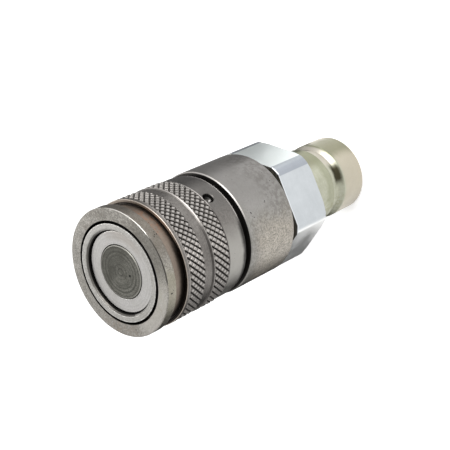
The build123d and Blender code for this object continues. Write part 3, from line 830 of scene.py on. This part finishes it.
# A longer six-sided prism, with two of its corners on the X axis, leaves the flats.
bpy.ops.object.select_all(action="DESELECT")
bpy.ops.mesh.primitive_cylinder_add(
    vertices=6, radius=hexagon_flats / 2 / math.cos(math.pi / 6) * MM,
    depth=2 * (adaptor_high - hexagon_low) * MM,
    location=(0, 0, (adaptor_high + hexagon_low) / 2 * MM), rotation=(0, 0, math.pi / 6),
)
cut(hexagon, bpy.context.object, "INTERSECT")
finish_piece(hexagon, zinc, "coupler_body", "zinc_plate", "hex_adaptor")

# Nipple: the male half's nose, lock groove and collar, zinc plated and passivated yellow.
# It is screwed into the hexagon, and one side of its lock groove is painted dark as a painted
# reflection.
nose_chamfer = 0.6
groove_start = 10.5
groove_end = 15.6
groove_chamfer = 0.25
lock_groove_radius = 11.0
nipple_cavity_radius = 9.3
nipple_counterbore = 9.8
nipple_lip = 5.0
poppet_bore = 8.1
guide_seat = 31.0
guide_seat_high = 34.0
snap_width = 1.1
snap_depth = 0.5
# Yellow zinc: a greenish straw sheen, rubbed to warm grey on the nose, painted darker on top as shade,
# with a painted highlight on the top of the groove's floor and a dark painted reflection on one side
# of the groove.
yellow_zinc = turned_steel(
    "yellow passivated zinc", "b3b3a3", "9fa08e", 0.32, line=1.1, groove=0.006, marks=0.03, stain=4,
    stains=0.9, grain=0.8, specks=0.05,
    patches=(("b5ad9e", 0.8, 0, {"height": (-1, 9.6, 0.6)}),
             ("7b7b64", 0.8, 0, {"turn": (-62, -14, 10), "height": (-1, 28, 0.5)}),
             ("c0bab0", 0.75, 0, {"height": (groove_start + 0.1, groove_end - 0.1, 0.3),
                                  "turn": (-70, 60, 8)}),
             ("888a72", 0.5, 0, {"height": (groove_end - 0.2, groove_end + 3.5, 1.0)}),
             ("2e2917", 0.94, 0, {"height": (groove_start - 0.1, groove_start + 2.5, 0.6),
                                  "turn": (-104, -73, 7)}),
             ("7f7d62", 0.5, 1.2, {"height": (groove_start, 28, 1.5), "turn": (-175, -125, 10)})),
)
nipple = turned("nipple_body.turned", [
    (poppet_bore, 0),
    (nose_radius - nose_chamfer, 0),
    (nose_radius, nose_chamfer),
    (nose_radius, groove_start - groove_chamfer),
    (lock_groove_radius, groove_start + nose_radius - lock_groove_radius),
    (lock_groove_radius, groove_end - nose_radius + lock_groove_radius),
    (nose_radius, groove_end + groove_chamfer),
    (nose_radius, hexagon_low),
    (nipple_spigot_radius, hexagon_low),
    (nipple_spigot_radius, nipple_spigot_high),
    (nipple_counterbore, nipple_spigot_high),
    (nipple_counterbore, guide_seat_high + snap_width),
    (nipple_counterbore + snap_depth, guide_seat_high + snap_width),
    (nipple_counterbore + snap_depth, guide_seat_high),
    (nipple_counterbore, guide_seat_high),
    (nipple_counterbore, guide_seat),
    (nipple_cavity_radius, guide_seat),
    (nipple_cavity_radius, nipple_lip),
    (poppet_bore, nipple_lip),
])
finish_piece(nipple, yellow_zinc, "coupler_body", "yellow_plate", "nipple_body")

# Nipple's poppet: the flat disc that closes the nipple's end, pushed out by a spring.
poppet_radius = 8.0
poppet_recess = 0.3
poppet_edge = 0.3
flange_low = 5.1
flange_high = 6.6
flange_radius = 8.8
poppet_stem = 2.4
poppet_cone = 2.0
poppet_high = 35.0
poppet_seal_height = poppet_recess + 2.3
poppet_seal_section = 1.5
poppet = turned("nipple_valve.turned", [
    (0, poppet_recess),
    (poppet_radius - poppet_edge, poppet_recess),
    (poppet_radius, poppet_recess + poppet_edge),
    *seal_groove(poppet_radius, poppet_seal_section, poppet_seal_height)[::-1],
    (poppet_radius, flange_low),
    (flange_radius, flange_low),
    (flange_radius, flange_high),
    (poppet_stem + poppet_cone, flange_high),
    (poppet_stem, flange_high + poppet_cone),
    (poppet_stem, poppet_high),
    (0, poppet_high),
])
# Turned steel: a plain satin with fine rings, little worn.
poppet_steel = turned_steel("turned poppet steel", "aba9a4", "8b8984", 0.32, line=0.3,
                            groove=0.02, stain=4, stains=0.8)
finish_piece(poppet, poppet_steel, "nipple_poppet", "poppet_steel", "nipple_valve")

# Springs: hard steel wire wound round the axis, one behind each thing that slides.
# Each stands against a fixed face at one end, and is drawn at its CAD length: it does not close up
# here as the slide comes towards it.
# Oiled wire: a grey sheen along each coil.
spring_steel = turned_steel("oiled spring wire", "8f8e8b", "6f6e6b", 0.33, line=0.3,
                            groove=0.004, stain=2, stains=0.8)
for name, body, slide, fixed_end in (
    ("sleeve_spring", "spring_seat", "sleeve_draw_back", 0),
    ("valve_spring", "coupler_body", "female_valve_slide", 0),
    ("nipple_valve_spring", "coupler_body", "nipple_valve_slide", 1),
):
    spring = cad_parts[name].copy()
    spring.data = spring.data.copy()
    spring.name = spring.data.name = name + ".wire"
    bpy.context.scene.collection.objects.link(spring)
    pick(spring)
    bpy.ops.object.mode_set(mode="EDIT")
    bpy.ops.mesh.select_all(action="SELECT")
    bpy.ops.mesh.remove_doubles(threshold=0.001 * MM)
    bpy.ops.mesh.select_all(action="DESELECT")
    bpy.ops.object.mode_set(mode="OBJECT")
    finish_piece(spring, spring_steel, body, "spring_steel", name)
    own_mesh(spring)

# Carriers, washer, nut and clips: turned or punched from plate, plain under a film of oil.
# They keep the form of the solids, as nothing of them shows from outside.
# Plate steel: plain grey, a little duller than the wire.
plate_steel = turned_steel("turned plate steel", "a6a49f", "8a8883", 0.38, line=0.3,
                           groove=0.01, stain=5, stains=0.8)


def coat(name, material):
    """Gives a CAD piece that stays as it is its material."""
    for material_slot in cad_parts[name].material_slots:
        material_slot.material = material


coat("guide_ring", spring_steel)
for name in ("sleeve_spring_seat", "stem_carrier", "stem_nut", "nipple_valve_guide"):
    coat(name, plate_steel)

# Seals: moulded nitrile rubber rings, matt black, and one ivory back-up ring of hard plastic.
# They too keep the form of the solids, in their grooves.


def moulded(name, dark, pale, cloud_size, detail, rough, index, skin):
    """A moulded rubber or plastic in two near shades, index being its index of refraction and
    skin the depth in mm of its dimples."""
    material, tree = empty_material(name)
    cloud = noise(tree, add(tree, "TexCoord").outputs["Object"], cloud_size, detail)
    dimples = add(tree, "Bump", {"Height": cloud, "Distance": skin * MM, "Strength": 0.5})
    surface = add(tree, "BsdfPrincipled", {
        "Base Color": blend(tree, cloud, linear(dark), linear(pale)), "Roughness": rough,
        "IOR": index, "Normal": dimples.outputs[0],
    })
    add(tree, "OutputMaterial", {"Surface": surface.outputs[0]})
    return material


# Rubber: black and matt, with a faint grey bloom. Plastic: cream, smooth and a little glossy.
rubber = moulded("black nitrile rubber", "121212", "262625", 2, 4, 0.6, 1.52, 0.01)
ivory = moulded("hard ivory plastic", "cfc8b4", "e2dccb", 3, 3, 0.4, 1.45, 0)
for name in ("nose_seal", "body_seal", "valve_sleeve_seal", "stem_seal", "adaptor_seal",
             "nipple_seal", "nipple_valve_seal"):
    coat(name, rubber)
coat("nose_backup_ring", ivory)

# Floor: a wide white sheet that the coupler stands on, bright enough to lose its edge.
# White paper: matt, and lit from within only where the camera or the metal sees it.
floor_side = 6
floor_drop = 0.0001


def seen_directly(tree):
    """1 where the camera sees a thing, straight or in a reflection, and 0 where it gives light."""
    rays = add(tree, "LightPath").outputs
    seen = maths(tree, "MAXIMUM", rays["Is Camera Ray"], rays["Is Glossy Ray"])
    return maths(tree, "MAXIMUM", seen, rays["Is Transmission Ray"])


bpy.ops.object.select_all(action="DESELECT")
bpy.ops.mesh.primitive_plane_add(size=floor_side, location=(0, 0, -floor_drop))
floor = bpy.context.object
floor.name = floor.data.name = "floor"
paper, tree = empty_material("white paper")
matt = add(tree, "BsdfDiffuse", {"Color": (0.8, 0.8, 0.8, 1)})
glow = add(tree, "Emission", {"Color": (1, 1, 1, 1),
                              "Strength": maths(tree, "MULTIPLY", seen_directly(tree), 0.5)})
both = add(tree, "AddShader", {0: matt.outputs[0], 1: glow.outputs[0]})
add(tree, "OutputMaterial", {"Surface": both.outputs[0]})
floor.data.materials.append(paper)

# Painted shadow: a grey card laid on the floor behind the coupler, where only the metal sees it, to
# darken edges as a painted reflection of shade. It deepens from grey at one end to black at the other,
# standing in for the coupler's own shadow.
card_low, card_high = (-0.30, 0.004), (0.22, 0.42)
card_lift = 0.0004
bpy.ops.object.select_all(action="DESELECT")
bpy.ops.mesh.primitive_plane_add(size=1, location=(0, 0, 0))
card = bpy.context.object
card.name = card.data.name = "painted_shadow_card"
bpy.ops.transform.resize(value=(card_high[0] - card_low[0], card_high[1] - card_low[1], 1))
bpy.ops.transform.translate(value=(
    (card_low[0] + card_high[0]) / 2, (card_low[1] + card_high[1]) / 2, card_lift
))
bpy.ops.object.transform_apply(location=True, rotation=True, scale=True)
shadow_card_paint, tree = empty_material("graded shadow card")
across = add(tree, "SeparateXYZ", {0: add(tree, "TexCoord").outputs["Object"]}).outputs["X"]
shade = remap(tree, across, -0.01, 0.03, 0, 0.25)
glow = add(tree, "Emission", {"Color": (1, 1, 1, 1), "Strength": shade})
add(tree, "OutputMaterial", {"Surface": glow.outputs[0]})
card.data.materials.append(shadow_card_paint)
card.visible_camera = False
card.visible_diffuse = False
card.visible_shadow = False

# Studio: a white surround, a large soft lamp above and to the left of the picture, a smaller
# one in front of the flat face, and the camera. The surround shows brighter than it lights.
scene = bpy.context.scene
scene.view_settings.view_transform = "Standard"
world = bpy.data.worlds.new("white studio")
scene.world = world
world.use_nodes = True
tree = world.node_tree
tree.nodes.clear()
level = remap(tree, seen_directly(tree), 0, 1, 0.55, 1.0)
sky = add(tree, "Background", {"Color": (1, 1, 1, 1), "Strength": level})
add(tree, "OutputWorld", {"Surface": sky.outputs[0]})

camera_place = Vector((0.0265, -0.2616, 0.3035))
camera_right = Vector((-0.3594, -0.6620, -0.6578)).normalized()
camera_up = Vector((0.9302, -0.1977, -0.3091)).normalized()
camera_lens = 96
bpy.ops.object.select_all(action="DESELECT")
bpy.ops.object.camera_add(location=camera_place)
camera = bpy.context.object
camera.rotation_euler = Matrix(
    (camera_right, camera_up, camera_right.cross(camera_up))
).transposed().to_euler()
camera.data.lens = camera_lens
camera.data.sensor_width = 36
camera.data.clip_start = 0.01
camera.data.clip_end = 20
scene.camera = camera


def soft_lamp(name, side, energy, place, aim_height):
    """A square soft lamp at a place in metres, aimed at a height on the coupler's axis."""
    lamp_data = bpy.data.lights.new(name, "AREA")
    lamp_data.shape = "RECTANGLE"
    lamp_data.size = lamp_data.size_y = side
    lamp_data.energy = energy
    lamp = bpy.data.objects.new(name, lamp_data)
    scene.collection.objects.link(lamp)
    lamp.location = place
    away = lamp.location - Vector((0, 0, aim_height))
    lamp.rotation_euler = away.to_track_quat("Z", "Y").to_euler()


soft_lamp("soft lamp", 0.5, 5, (0.45, -0.35, 0.45), 0.05)
soft_lamp("face lamp", 0.25, 2, (0.25, 0.5, 0.6), 0.09)
